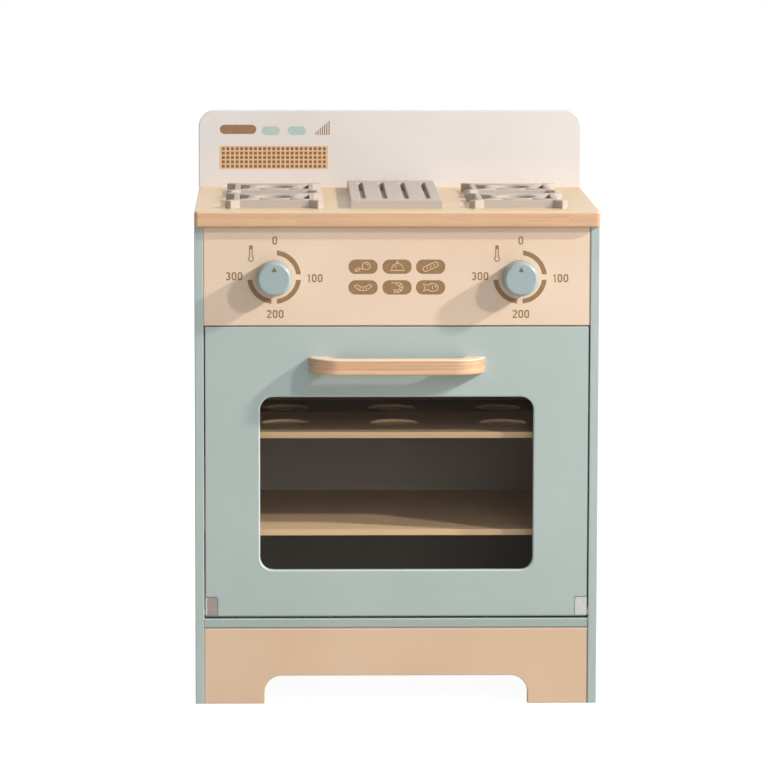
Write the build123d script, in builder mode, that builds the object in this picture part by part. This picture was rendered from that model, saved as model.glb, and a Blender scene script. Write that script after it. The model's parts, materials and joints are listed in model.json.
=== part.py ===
from build123d import *
from math import atan2, copysign, degrees, hypot
import os

# A toy oven for pretend cooking: a cabinet of painted MDF boards under a wooden hob, with a door
# that drops open at the bottom, two turning knobs, two shelves and a splashback.
# Millimetres. X runs to the right, the front faces -Y and Z is up. The origin is on the floor,
# in the middle of the width and of the depth from the handle to the back.

# ---------------------------------------------------------------- driving dimensions
# Cabinet
cabinet_width = 400.0
board = 9.0                 # MDF of the sides, floor, roof, door, panels and splashback
back_thickness = 5.0
edge_round = 1.0            # how far a board's front edges are eased
plinth_height = 77.0
arch_width = 262.0          # cut-out that leaves the plinth two feet
arch_height = 28.3
arch_radius = 17.0
door_height = 290.5
control_height = 98.0
door_gap = 1.0              # beside and above the door
door_floor_gap = 2.0        # under the door, where its lower edge swings

# Hob
worktop_depth = 300.0
worktop_overhang = 8.0      # in front of the cabinet
worktop_thickness = 16.0
worktop_corner = 4.0
worktop_round = 2.0
splash_height = 80.0
splash_corner = 17.0
plate_thickness = 8.0       # griddle and grates
plate_ease = 0.7
hob_setback = 30.0          # from the worktop's front edge to the plates
griddle_width = 90.0
griddle_depth = 246.0
slot_count = 4
slot_pitch = 21.6
slot_width = 5.0
slot_length = 196.0
grate_width = 97.5
grate_depth = 97.5
grate_inset = 79.0          # from the worktop's end to the middle of a grate
grate_pitch = 120.0         # from a front grate to the one behind it
prong = 6.0                 # length of a corner prong along each side
prong_chamfer = 5.0         # off the tip of each corner
prong_slope = 8.5           # slanted run from a prong down to the drawn-in side
prong_reach = 8.5           # how far a prong stands past the drawn-in side
rim_width = 5.5
ring_radius = 26.0
ring_width = 6.5
arm_width = 9.0

# Shelves
shelf_thickness = 6.0
lower_shelf_rise = 80.0     # from the oven floor to the underside of the shelf
upper_shelf_rise = 178.0
shelf_setback = 25.0        # from the cabinet's front to the shelf's front edge
groove_depth = 3.0
groove_clearance = 0.2
muffin_diameter = 48.0
muffin_columns = 3
muffin_rows = 2
muffin_pitch_x = 110.0
muffin_pitch_y = 116.0

# Door
lower_edge_round = 2.0
window_inset = 54.5         # from the door's sides to the window
window_rise = 47.0          # from the door's bottom edge to the window
window_drop = 70.0          # from the door's top edge to the window
window_radius = 13.0
window_ease = 1.2
pane_thickness = 3.0
pane_margin = 7.0           # how far the pane reaches past the window
pane_clearance = 0.5
handle_length = 174.0
handle_height = 15.3
handle_drop = 37.5          # from the door's top edge to the handle's middle
handle_reach = 28.0
handle_shoulder = 30.0      # length over which each end curves back to the door
handle_bar = 14.0           # depth of the bar in front of the finger gap
handle_leg = 20.0           # width of each foot on the door
handle_round = 1.3

# Hinges: a bent plate and a pin in each lower corner of the door, a bush in each side panel
pivot_rise = 4.5            # from the door's bottom edge to the hinge axis
hinge_width = 12.0
hinge_height = 18.0
hinge_leaf = 1.0
hinge_inset = 1.5           # from the door's bottom edge to the plate
hinge_corner = 3.0          # upper corner of the plate
hinge_lower_corner = 1.0
hinge_bend = 1.0            # outside of the bend between the plate's two leaves
hinge_clearance = 0.8       # pocket round the plate
pin_radius = 2.0
pin_in_door = 8.0
pin_in_side = 5.5
bush_radius = 3.0
bush_depth = 6.5
collar_radius = 4.0
collar_height = 0.7         # stands into the gap beside the door
running_clearance = 0.05

# Magnetic catch
catch_width = 44.0
catch_height = 12.0
catch_depth = 16.0
magnet_width = 24.0
magnet_height = 7.0
magnet_depth = 10.0
catch_gap = 0.3
strike_width = 34.0
strike_height = 11.0
strike_thickness = 1.0
strike_screw_pitch = 22.0

# Knobs
knob_inset = 69.7           # from the panel's end to the knob's axis
knob_rise = 48.2            # above the panel's bottom edge
knob_radius = 17.0
knob_height = 22.0
knob_bevel = 2.4
spacer_radius = 7.0
spacer_thickness = 1.0
insert_radius = 4.0
insert_length = 12.0
knob_screw_radius = 2.0
washer_radius = 6.0
washer_thickness = 1.0
knob_head_radius = 4.0
knob_head_height = 2.5

# Fasteners
screw_radius = 1.75         # cabinet screws, driven in from the sides
screw_head_radius = 3.5
side_screw_length = 32.0
side_screw_inset = 55.0     # from the front and the back of a board
control_screw_rise = 59.0   # from the control panel's bottom edge
back_screw_radius = 1.5
back_screw_head_radius = 3.0
back_screw_length = 20.0
back_screw_inset = 21.0     # from the back panel's ends to the outer screws
back_screw_count = 3
hob_screw_bite = 6.0        # how far a hob screw goes into its plate
hob_screw_inset = 8.0       # from a grate's outline to the screws in its corners
griddle_screw_pitch = 120.0
small_screw_radius = 1.25   # in the catch, the strike plate, the hinge plates and round the pane
small_head_radius = 2.5
small_screw_length = 7.0
pan_flat_share = 0.6        # how much of a pan head's radius its flat top takes
pan_wall_share = 0.4        # how much of its height its upright rim takes
catch_screw_pitch = 34.0
catch_screw_bite = 6.0
pane_head_height = 1.4
pane_screw_pitch = 100.0
handle_screw_radius = 2.0
handle_head_radius = 4.0
handle_head_height = 2.5
handle_screw_length = 24.0
dowel_radius = 2.5
dowel_in_worktop = 10.0
dowel_in_side = 14.0
dowel_in_splash = 14.0
splash_dowel_pitch = 150.0
cleat_size = 15.0
cleat_length = 200.0
cleat_screw_pitch = 120.0
cleat_screw_bite = 10.0

# ---------------------------------------------------------------- places worked out from them
half_width = cabinet_width / 2
inner_width = cabinet_width - 2 * board
floor_top = plinth_height + board
door_bottom = floor_top + door_floor_gap
door_top = door_bottom + door_height
control_bottom = door_top + door_gap
cabinet_height = control_bottom + control_height
worktop_top = cabinet_height + worktop_thickness

side_depth = worktop_depth - worktop_overhang
back_y = (side_depth + handle_reach) / 2
front_y = back_y - side_depth
inside_back_y = back_y - back_thickness
panel_back_y = front_y + board
panel_mid_y = front_y + board / 2
worktop_front_y = front_y - worktop_overhang

shelf_front_y = front_y + shelf_setback
shelf_depth = inside_back_y - shelf_front_y
shelf_mid_y = (inside_back_y + shelf_front_y) / 2
shelf_width = inner_width + 2 * (groove_depth - groove_clearance)
shelf_bottoms = (floor_top + lower_shelf_rise, floor_top + upper_shelf_rise)

door_width = inner_width - 2 * door_gap
door_edge = door_width / 2
window_width = door_width - 2 * window_inset
window_height = door_height - window_rise - window_drop
window_z = door_bottom + window_rise + window_height / 2
rebate_width = window_width + 2 * (pane_margin + pane_clearance)
rebate_height = window_height + 2 * (pane_margin + pane_clearance)
handle_z = door_top - handle_drop
pivot_y = panel_mid_y
pivot_z = door_bottom + pivot_rise
hinge_bottom = door_bottom + hinge_inset
hinge_screw_z = (pivot_z + pin_radius + hinge_bottom + hinge_height) / 2

knob_offset = inner_width / 2 - knob_inset
knob_z = control_bottom + knob_rise
grate_offset = cabinet_width / 2 - grate_inset
grate_front_y = worktop_front_y + hob_setback + grate_depth / 2
griddle_mid_y = worktop_front_y + hob_setback + griddle_depth / 2
hob_screw_length = worktop_thickness + hob_screw_bite
cleat_mid_y = (panel_back_y + inside_back_y) / 2
cleat_x = inner_width / 2 - cleat_size / 2
strike_z = door_top - strike_height / 2 - door_gap
catch_front_y = panel_back_y + strike_thickness + catch_gap
catch_mid_y = catch_front_y + catch_depth / 2
catch_bottom = control_bottom - catch_height
strike_sink_radius = small_screw_radius + strike_thickness
hinge_sink_radius = small_screw_radius + hinge_leaf

os.makedirs("parts", exist_ok=True)


# ---------------------------------------------------------------- planes and places
def upright(y):
    """An upright plane at depth y. It faces the front, with its own Y pointing up."""
    return Plane.XZ.offset(-y)


def seen_from_behind(x, y, z):
    """A place on an upright face that is worked from behind."""
    return Plane(origin=(x, y, z), x_dir=(-1, 0, 0), z_dir=(0, 1, 0))


def from_below(x, y, z):
    """A place on the underside of a board, for what is driven upwards."""
    return Plane(origin=(x, y, z), z_dir=(0, 0, -1))


def from_above(x, y, z):
    """A place on the top of a board."""
    return Plane(origin=(x, y, z), z_dir=(0, 0, 1))


def from_the_side(side, points):
    """Places on the outer face of one side panel, at (y, z) points."""
    return [Plane(origin=(side * half_width, y, z), z_dir=(side, 0, 0)) for y, z in points]


def from_both_sides(points):
    return from_the_side(-1, points) + from_the_side(1, points)


def level_outline(width, y_near, y_far):
    """Outline of a level board between two depths, drawn in the current sketch."""
    with Locations((0, (y_near + y_far) / 2)):
        Rectangle(width, y_far - y_near)


# Where the boards are screwed together through the side panels, as (y, z)
floor_points = [
    (front_y + side_screw_inset, plinth_height + board / 2),
    (inside_back_y - side_screw_inset, plinth_height + board / 2),
]
roof_points = [
    (front_y + side_screw_inset, control_bottom + board / 2),
    (inside_back_y - side_screw_inset, control_bottom + board / 2),
]
plinth_points = [(panel_mid_y, plinth_height / 2)]
control_points = [(panel_mid_y, control_bottom + control_screw_rise)]
side_points = floor_points + roof_points + plinth_points + control_points

# Where the back panel is screwed to the rear edges of the floor and the roof
back_screw_pitch = (inner_width - 2 * back_screw_inset) / (back_screw_count - 1)
back_places = [
    seen_from_behind((i - (back_screw_count - 1) / 2) * back_screw_pitch, back_y, z)
    for z in (plinth_height + board / 2, control_bottom + board / 2)
    for i in range(back_screw_count)
]

# Dowels that hold the worktop on the side panels, and the splashback on the worktop
worktop_dowel_xy = [
    (side * (half_width - board / 2), y)
    for side in (-1, 1)
    for y in (front_y + side_screw_inset, inside_back_y - side_screw_inset)
]
splash_dowel_xy = [(i * splash_dowel_pitch, back_y - board / 2) for i in (-1, 0, 1)]

# Screws driven up through the worktop into the griddle and the grates
grate_centres = {
    f"{row}_{hand}": (side * grate_offset, grate_front_y + step * grate_pitch)
    for row, step in (("front", 0), ("back", 1))
    for hand, side in (("left", -1), ("right", 1))
}
grate_screw_x = grate_width / 2 - hob_screw_inset
grate_screw_y = grate_depth / 2 - hob_screw_inset
hob_xy = [
    (x + turn * copysign(grate_screw_x, x), y + turn * grate_screw_y)
    for x, y in grate_centres.values()
    for turn in (-1, 1)
]
hob_xy += [(0, griddle_mid_y + turn * griddle_screw_pitch / 2) for turn in (-1, 1)]
hob_places = [from_below(x, y, cabinet_height) for x, y in hob_xy]

cleat_places = [
    from_below(side * cleat_x, cleat_mid_y + turn * cleat_screw_pitch / 2, cabinet_height - cleat_size)
    for side in (-1, 1)
    for turn in (-1, 1)
]

catch_places = [from_below(turn * catch_screw_pitch / 2, catch_mid_y, catch_bottom) for turn in (-1, 1)]
strike_places = [
    seen_from_behind(turn * strike_screw_pitch / 2, panel_back_y + strike_thickness, strike_z)
    for turn in (-1, 1)
]

# Screws round the pane: their shanks stand just outside it and their heads lap over its edge
pane_screw_x = rebate_width / 2 + small_screw_radius + pane_clearance
pane_screw_z = rebate_height / 2 + small_screw_radius + pane_clearance
pane_places = [
    seen_from_behind(i * pane_screw_pitch, panel_back_y, window_z + turn * pane_screw_z)
    for turn in (-1, 1)
    for i in (-1, 0, 1)
]
pane_places += [seen_from_behind(turn * pane_screw_x, panel_back_y, window_z) for turn in (-1, 1)]

handle_screw_x = handle_length / 2 - handle_leg / 2
handle_places = [seen_from_behind(turn * handle_screw_x, panel_back_y, handle_z) for turn in (-1, 1)]


# ---------------------------------------------------------------- fasteners
def sunk_screw(shank, head, length):
    """Countersunk screw, its head flush with the origin and its shank along -Z."""
    with BuildPart() as screw:
        with BuildSketch(Plane.XZ):
            with BuildLine():
                Polyline(
                    (0, 0), (head, 0), (shank, shank - head), (shank, shank - length), (0, -length),
                    close=True
                )
            make_face()
        revolve(axis=Axis.Z)
    return screw.part


def pan_screw(shank, head, head_height, length):
    """Pan-head screw, its head standing on the origin and its shank along -Z."""
    with BuildPart() as screw:
        with BuildSketch(Plane.XZ):
            with BuildLine():
                Polyline(
                    (0, head_height), (head * pan_flat_share, head_height),
                    (head, head_height * pan_wall_share), (head, 0),
                    (shank, 0), (shank, -length), (0, -length), close=True
                )
            make_face()
        revolve(axis=Axis.Z)
    return screw.part


def bar_between(radius, low, high):
    """Plain round dowel along Z, from low to high."""
    with BuildPart() as bar:
        with BuildSketch(Plane.XY.offset(low)):
            Circle(radius)
        extrude(amount=high - low)
    return bar.part


side_screw = sunk_screw(screw_radius, screw_head_radius, side_screw_length)
back_screw = sunk_screw(back_screw_radius, back_screw_head_radius, back_screw_length)
hob_screw = sunk_screw(back_screw_radius, back_screw_head_radius, hob_screw_length)
cleat_screw = sunk_screw(screw_radius, screw_head_radius, cleat_size + cleat_screw_bite)
catch_screw = sunk_screw(small_screw_radius, small_head_radius, catch_height + catch_screw_bite)
strike_screw = sunk_screw(small_screw_radius, strike_sink_radius, small_screw_length + strike_thickness)
hinge_screw = sunk_screw(small_screw_radius, hinge_sink_radius, small_screw_length + hinge_leaf)
pane_screw = pan_screw(small_screw_radius, small_head_radius, pane_head_height, small_screw_length)
handle_screw = pan_screw(handle_screw_radius, handle_head_radius, handle_head_height, handle_screw_length)
worktop_dowel = bar_between(dowel_radius, -dowel_in_side, dowel_in_worktop)
splash_dowel = bar_between(dowel_radius, -dowel_in_worktop, dowel_in_splash)

# ---------------------------------------------------------------- cabinet boards
# Side panels run from the floor to the worktop. Two grooves in each hold the ends of the shelves.
for hand, side in (("left", -1), ("right", 1)):
    with BuildPart() as side_panel:
        with BuildSketch(Plane.YZ.offset(side * half_width)):
            with Locations(((front_y + back_y) / 2, cabinet_height / 2)):
                Rectangle(side_depth, cabinet_height)
        extrude(amount=-side * board)
        fillet(side_panel.edges().filter_by(Axis.Z).group_by(Axis.Y)[0], radius=edge_round)
        with BuildSketch(Plane.YZ.offset(side * inner_width / 2)):
            for shelf_bottom in shelf_bottoms:
                with Locations((shelf_mid_y - groove_clearance / 2, shelf_bottom)):
                    Rectangle(
                        shelf_depth + groove_clearance,
                        shelf_thickness + groove_clearance,
                        align=(Align.CENTER, Align.MIN),
                    )
        extrude(amount=side * groove_depth, mode=Mode.SUBTRACT)
        with Locations(*from_the_side(side, side_points)):
            CounterSinkHole(screw_radius, screw_head_radius, depth=side_screw_length, counter_sink_angle=90)
        with Locations(Plane(origin=(side * inner_width / 2, pivot_y, pivot_z), z_dir=(-side, 0, 0))):
            Hole(bush_radius, depth=bush_depth)
        with Locations(*[from_above(x, y, cabinet_height) for x, y in worktop_dowel_xy if x * side > 0]):
            Hole(dowel_radius, depth=dowel_in_side)
    side_panel.part.label = f"side_panel_{hand}"
    export_step(side_panel.part, f"parts/side_panel_{hand}.step")

# The floor of the oven lies on the plinth and shows its front edge under the door.
with BuildPart() as bottom_board:
    with BuildSketch(Plane.XY.offset(plinth_height)):
        level_outline(inner_width, front_y, inside_back_y)
    extrude(amount=board)
    fillet(bottom_board.faces().sort_by(Axis.Y)[0].edges().filter_by(Axis.X), radius=edge_round)
    with Locations(*from_both_sides(floor_points)):
        Hole(screw_radius, depth=side_screw_length)
    with Locations(*back_places):
        Hole(back_screw_radius, depth=back_screw_length)
bottom_board.part.label = "bottom_board"
export_step(bottom_board.part, "parts/bottom_board.step")

# The plinth closes the front under the oven. Its arch leaves two feet.
with BuildPart() as plinth_board:
    with BuildSketch(upright(panel_back_y)) as plinth_outline:
        Rectangle(inner_width, plinth_height, align=(Align.CENTER, Align.MIN))
        Rectangle(arch_width, arch_height, align=(Align.CENTER, Align.MIN), mode=Mode.SUBTRACT)
        fillet(plinth_outline.vertices().group_by(Axis.Y)[1], radius=arch_radius)
    extrude(amount=board)
    fillet(plinth_board.faces().sort_by(Axis.Y)[0].edges(), radius=edge_round)
    with Locations(*from_both_sides(plinth_points)):
        Hole(screw_radius, depth=side_screw_length)
plinth_board.part.label = "plinth_board"
export_step(plinth_board.part, "parts/plinth_board.step")

# The roof of the oven carries the magnetic catch and closes the space behind the control panel.
with BuildPart() as oven_roof:
    with BuildSketch(Plane.XY.offset(control_bottom)):
        level_outline(inner_width, panel_back_y, inside_back_y)
    extrude(amount=board)
    with Locations(*from_both_sides(roof_points)):
        Hole(screw_radius, depth=side_screw_length)
    with Locations(*back_places):
        Hole(back_screw_radius, depth=back_screw_length)
    with Locations(*catch_places):
        Hole(small_screw_radius, depth=catch_height + catch_screw_bite)
oven_roof.part.label = "oven_roof"
export_step(oven_roof.part, "parts/oven_roof.step")

# The control panel stands above the door, flush with it, and is the bearing of both knobs.
with BuildPart() as control_panel:
    with BuildSketch(upright(panel_back_y)):
        with Locations((0, control_bottom)):
            Rectangle(inner_width, control_height, align=(Align.CENTER, Align.MIN))
        with Locations((-knob_offset, knob_z), (knob_offset, knob_z)):
            Circle(knob_screw_radius + running_clearance, mode=Mode.SUBTRACT)
    extrude(amount=board)
    front_face = control_panel.faces().sort_by(Axis.Y)[0]
    fillet(front_face.outer_wire().edges(), radius=edge_round)
    with Locations(*from_both_sides(control_points)):
        Hole(screw_radius, depth=side_screw_length)
control_panel.part.label = "control_panel"
export_step(control_panel.part, "parts/control_panel.step")

# The thin back panel stands between the sides, from the oven's floor board up to the worktop.
with BuildPart() as back_panel:
    with BuildSketch(upright(back_y)):
        with Locations((0, plinth_height)):
            Rectangle(
                inner_width, cabinet_height - plinth_height, align=(Align.CENTER, Align.MIN)
            )
    extrude(amount=back_thickness)
    with Locations(*back_places):
        CounterSinkHole(back_screw_radius, back_screw_head_radius, counter_sink_angle=90)
back_panel.part.label = "back_panel"
export_step(back_panel.part, "parts/back_panel.step")

# Strips of wood under the worktop hold it down on the sides.
for hand, side in (("left", -1), ("right", 1)):
    with BuildPart() as worktop_cleat:
        with BuildSketch(Plane.XY.offset(cabinet_height)):
            with Locations((side * cleat_x, cleat_mid_y)):
                Rectangle(cleat_size, cleat_length)
        extrude(amount=-cleat_size)
        with Locations(*cleat_places):
            CounterSinkHole(screw_radius, screw_head_radius, counter_sink_angle=90)
    worktop_cleat.part.label = f"worktop_cleat_{hand}"
    export_step(worktop_cleat.part, f"parts/worktop_cleat_{hand}.step")

# ---------------------------------------------------------------- worktop and splashback
# A slab of solid wood. Its front and sides are eased; the back stays square under the splashback.
with BuildPart() as worktop:
    with BuildSketch(Plane.XY.offset(cabinet_height)) as worktop_outline:
        level_outline(cabinet_width, worktop_front_y, back_y)
        fillet(worktop_outline.vertices().group_by(Axis.Y)[0], radius=worktop_corner)
    extrude(amount=worktop_thickness)
    level_edges = worktop.edges().filter_by(Plane.XY)
    rear_edges = level_edges.filter_by(Axis.X).group_by(Axis.Y)[-1]
    fillet(level_edges - rear_edges, radius=worktop_round)
    with Locations(*hob_places):
        CounterSinkHole(back_screw_radius, back_screw_head_radius, counter_sink_angle=90)
    with Locations(*[from_below(x, y, cabinet_height) for x, y in worktop_dowel_xy]):
        Hole(dowel_radius, depth=dowel_in_worktop)
    with Locations(*[from_above(x, y, worktop_top) for x, y in splash_dowel_xy]):
        Hole(dowel_radius, depth=dowel_in_worktop)
    with Locations(*cleat_places):
        Hole(screw_radius, depth=cleat_size + cleat_screw_bite)
worktop.part.label = "worktop"
export_step(worktop.part, "parts/worktop.step")

with BuildPart() as splashback:
    with BuildSketch(upright(back_y)) as splash_outline:
        with Locations((0, worktop_top)):
            Rectangle(cabinet_width, splash_height, align=(Align.CENTER, Align.MIN))
        fillet(splash_outline.vertices().group_by(Axis.Y)[-1], radius=splash_corner)
    extrude(amount=board)
    face_edges = splashback.edges().filter_by(Plane.XZ)
    fillet(face_edges - face_edges.group_by(Axis.Z)[0], radius=edge_round)
    with Locations(*[from_below(x, y, worktop_top) for x, y in splash_dowel_xy]):
        Hole(dowel_radius, depth=dowel_in_splash)
splashback.part.label = "splashback"
export_step(splashback.part, "parts/splashback.step")

# ---------------------------------------------------------------- hob
# The griddle is a flat plate with slots that run from front to back.
with BuildPart() as griddle_plate:
    with BuildSketch(Plane.XY.offset(worktop_top)):
        with Locations((0, griddle_mid_y)):
            Rectangle(griddle_width, griddle_depth)
            with GridLocations(slot_pitch, 0, slot_count, 1):
                SlotOverall(slot_length, slot_width, rotation=90, mode=Mode.SUBTRACT)
    extrude(amount=plate_thickness)
    chamfer(griddle_plate.faces().sort_by(Axis.Z)[-1].edges(), length=plate_ease)
    with Locations(*hob_places):
        Hole(back_screw_radius, depth=hob_screw_length)
griddle_plate.part.label = "griddle_plate"
export_step(griddle_plate.part, "parts/griddle_plate.step")


def drawn_in(length, across):
    """What is cut between two prongs: a shallow trapezium on the side of a grate that faces +Y."""
    with BuildSketch() as cut:
        with BuildLine():
            Polyline(
                (prong - length / 2, across / 2),
                (prong + prong_slope - length / 2, across / 2 - prong_reach),
                (length / 2 - prong - prong_slope, across / 2 - prong_reach),
                (length / 2 - prong, across / 2),
                close=True,
            )
        make_face()
    return cut.sketch


# Each grate is one flat plate: prongs at the corners, a drawn-in rim between them, and a ring
# that four arms hold from the corners.
opening_width = grate_width - 2 * (prong_reach + rim_width)
opening_depth = grate_depth - 2 * (prong_reach + rim_width)
arm_length = hypot(opening_width, opening_depth)
arm_lean = degrees(atan2(opening_depth, opening_width))
with BuildSketch() as grate_openings:
    Rectangle(opening_width, opening_depth)
    Circle(ring_radius, mode=Mode.SUBTRACT)
    for lean in (arm_lean, -arm_lean):
        Rectangle(arm_length, arm_width, rotation=lean, mode=Mode.SUBTRACT)
    Circle(ring_radius - ring_width)
with BuildSketch() as grate_outline:
    Rectangle(grate_width, grate_depth)
    chamfer(grate_outline.vertices(), length=prong_chamfer)
    for turn in (0, 180):
        add(drawn_in(grate_width, grate_depth), rotation=turn, mode=Mode.SUBTRACT)
        add(drawn_in(grate_depth, grate_width), rotation=turn + 90, mode=Mode.SUBTRACT)
    add(grate_openings.sketch, mode=Mode.SUBTRACT)

for place, (grate_x, grate_y) in grate_centres.items():
    with BuildPart() as grate:
        with BuildSketch(Plane.XY.offset(worktop_top)):
            with Locations((grate_x, grate_y)):
                add(grate_outline.sketch)
        extrude(amount=plate_thickness)
        chamfer(grate.faces().sort_by(Axis.Z)[-1].edges(), length=plate_ease)
        with Locations(*hob_places):
            Hole(back_screw_radius, depth=hob_screw_length)
    grate.part.label = f"grate_{place}"
    export_step(grate.part, f"parts/grate_{place}.step")

# ---------------------------------------------------------------- shelves
with BuildPart() as muffin_shelf:
    with BuildSketch(Plane.XY.offset(shelf_bottoms[1])):
        with Locations((0, shelf_mid_y)):
            Rectangle(shelf_width, shelf_depth)
            with GridLocations(muffin_pitch_x, muffin_pitch_y, muffin_columns, muffin_rows):
                Circle(muffin_diameter / 2, mode=Mode.SUBTRACT)
    extrude(amount=shelf_thickness)
muffin_shelf.part.label = "muffin_shelf"
export_step(muffin_shelf.part, "parts/muffin_shelf.step")

with BuildPart() as lower_shelf:
    with BuildSketch(Plane.XY.offset(shelf_bottoms[0])):
        with Locations((0, shelf_mid_y)):
            Rectangle(shelf_width, shelf_depth)
    extrude(amount=shelf_thickness)
lower_shelf.part.label = "lower_shelf"
export_step(lower_shelf.part, "parts/lower_shelf.step")

# ---------------------------------------------------------------- door
# The door is one board with a window. A rebate behind the window takes the pane, and a pocket in
# each lower corner takes a hinge plate. Its lower edge is rounded, so that it clears the floor
# of the oven when it swings.
with BuildPart() as door_panel:
    with BuildSketch(upright(panel_back_y)):
        with Locations((0, door_bottom)):
            Rectangle(door_width, door_height, align=(Align.CENTER, Align.MIN))
    extrude(amount=board)
    lower_edges = door_panel.edges().filter_by(Axis.X).group_by(Axis.Z)[0]
    fillet(lower_edges, radius=lower_edge_round)
    front_edges = door_panel.faces().sort_by(Axis.Y)[0].edges()
    fillet(front_edges - front_edges.group_by(Axis.Z)[0], radius=edge_round)
    with BuildSketch(upright(panel_back_y)):
        with Locations((0, window_z)):
            RectangleRounded(window_width, window_height, window_radius)
    extrude(amount=board, mode=Mode.SUBTRACT)
    window_edges = door_panel.faces().sort_by(Axis.Y)[0].inner_wires()[0].edges()
    chamfer(window_edges, length=window_ease)
    with BuildSketch(upright(panel_back_y)):
        with Locations((0, window_z)):
            RectangleRounded(rebate_width, rebate_height, window_radius)
    extrude(amount=pane_thickness, mode=Mode.SUBTRACT)
    for side in (-1, 1):
        with BuildSketch(Plane.XY.offset(hinge_bottom - hinge_clearance)):
            with Locations((side * door_edge, front_y)):
                corner = (Align.MAX if side > 0 else Align.MIN, Align.MIN)
                Rectangle(hinge_width + hinge_clearance, hinge_leaf, align=corner)
                Rectangle(hinge_leaf, board, align=corner)
        extrude(amount=hinge_height + 2 * hinge_clearance, mode=Mode.SUBTRACT)
        with Locations(Plane(origin=(side * door_edge, pivot_y, pivot_z), z_dir=(side, 0, 0))):
            Hole(pin_radius, depth=pin_in_door)
        with Locations(Plane(origin=(side * door_edge, pivot_y, hinge_screw_z), z_dir=(side, 0, 0))):
            Hole(small_screw_radius, depth=small_screw_length + hinge_leaf)
    with Locations(*pane_places):
        Hole(small_screw_radius, depth=small_screw_length)
    with Locations(*strike_places):
        Hole(small_screw_radius, depth=small_screw_length + strike_thickness)
    with Locations(*handle_places):
        Hole(handle_screw_radius, depth=board)
door_panel.part.label = "door_panel"
export_step(door_panel.part, "parts/door_panel.step")

with BuildPart() as window_pane:
    with BuildSketch(upright(panel_back_y)):
        with Locations((0, window_z)):
            RectangleRounded(
                window_width + 2 * pane_margin, window_height + 2 * pane_margin, window_radius
            )
    extrude(amount=pane_thickness)
window_pane.part.label = "window_pane"
export_step(window_pane.part, "parts/window_pane.step")


def bow(half_length, reach, shoulder):
    """Flat bow seen from above: straight in front, curved back to the door at both ends."""
    with BuildSketch(Plane.XY.offset(handle_z - handle_height / 2)) as shape:
        with BuildLine():
            straight = Line(
                (shoulder - half_length, front_y - reach), (half_length - shoulder, front_y - reach)
            )
            TangentArc(straight @ 1, (half_length, front_y), tangent=(1, 0))
            TangentArc(straight @ 0, (-half_length, front_y), tangent=(-1, 0))
            Line((-half_length, front_y), (half_length, front_y))
        make_face()
    return shape.sketch


# The handle is sawn from one piece of wood. Its gap leaves room for a child's fingers.
gap_half_length = handle_length / 2 - handle_leg
gap_reach = handle_reach - handle_bar
gap_shoulder = handle_shoulder * gap_reach / handle_reach
with BuildPart() as door_handle:
    add(bow(handle_length / 2, handle_reach, handle_shoulder))
    extrude(amount=handle_height)
    add(bow(gap_half_length, gap_reach, gap_shoulder))
    extrude(amount=handle_height, mode=Mode.SUBTRACT)
    level_edges = door_handle.edges().filter_by(Plane.XY)
    fillet(level_edges - level_edges.filter_by(Axis.X).group_by(Axis.Y)[-1], radius=handle_round)
    with Locations(*handle_places):
        Hole(handle_screw_radius, depth=handle_screw_length)
door_handle.part.label = "door_handle"
export_step(door_handle.part, "parts/door_handle.step")

# ---------------------------------------------------------------- hinges
# A bent steel plate lies in each lower corner of the door. The pin goes through its side leaf
# into a nylon bush in the side panel, whose collar stands in the gap beside the door.
for hand, side in (("left", -1), ("right", 1)):
    with BuildPart() as hinge_plate:
        with BuildSketch(Plane.XY.offset(hinge_bottom)):
            with Locations((side * door_edge, front_y)):
                corner = (Align.MAX if side > 0 else Align.MIN, Align.MIN)
                Rectangle(hinge_width, hinge_leaf, align=corner)
                Rectangle(hinge_leaf, board, align=corner)
        extrude(amount=hinge_height)
        leaf_corners = hinge_plate.edges().filter_by(Axis.Y).group_by(Axis.X, reverse=side > 0)[-1]
        fillet(leaf_corners.sort_by(Axis.Z)[-1], radius=hinge_corner)
        leaf_corners = hinge_plate.edges().filter_by(Axis.Y).group_by(Axis.X, reverse=side > 0)[-1]
        fillet(leaf_corners.sort_by(Axis.Z)[0], radius=hinge_lower_corner)
        front_corners = hinge_plate.edges().filter_by(Axis.Z).group_by(Axis.Y)[0]
        fillet(front_corners.sort_by(Axis.X, reverse=side > 0)[0], radius=hinge_bend)
        with Locations(Plane(origin=(side * door_edge, pivot_y, pivot_z), z_dir=(side, 0, 0))):
            Hole(pin_radius, depth=pin_in_door)
        with Locations(Plane(origin=(side * door_edge, pivot_y, hinge_screw_z), z_dir=(side, 0, 0))):
            CounterSinkHole(
                small_screw_radius, hinge_sink_radius, depth=small_screw_length, counter_sink_angle=90
            )
    hinge_plate.part.label = f"hinge_plate_{hand}"
    export_step(hinge_plate.part, f"parts/hinge_plate_{hand}.step")

    with BuildPart() as hinge_pin:
        with BuildSketch(Plane.YZ.offset(side * (door_edge - pin_in_door))):
            with Locations((pivot_y, pivot_z)):
                Circle(pin_radius)
        extrude(amount=side * (pin_in_door + door_gap + pin_in_side))
    hinge_pin.part.label = f"hinge_pin_{hand}"
    export_step(hinge_pin.part, f"parts/hinge_pin_{hand}.step")

    with BuildPart() as hinge_bush:
        with BuildSketch(Plane.YZ.offset(side * inner_width / 2)):
            with Locations((pivot_y, pivot_z)):
                Circle(bush_radius)
        extrude(amount=side * bush_depth)
        with BuildSketch(Plane.YZ.offset(side * inner_width / 2)):
            with Locations((pivot_y, pivot_z)):
                Circle(collar_radius)
        extrude(amount=-side * collar_height)
        with Locations(Plane(origin=(side * inner_width / 2, pivot_y, pivot_z), z_dir=(side, 0, 0))):
            Hole(pin_radius + running_clearance)
    hinge_bush.part.label = f"hinge_bush_{hand}"
    export_step(hinge_bush.part, f"parts/hinge_bush_{hand}.step")

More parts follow.
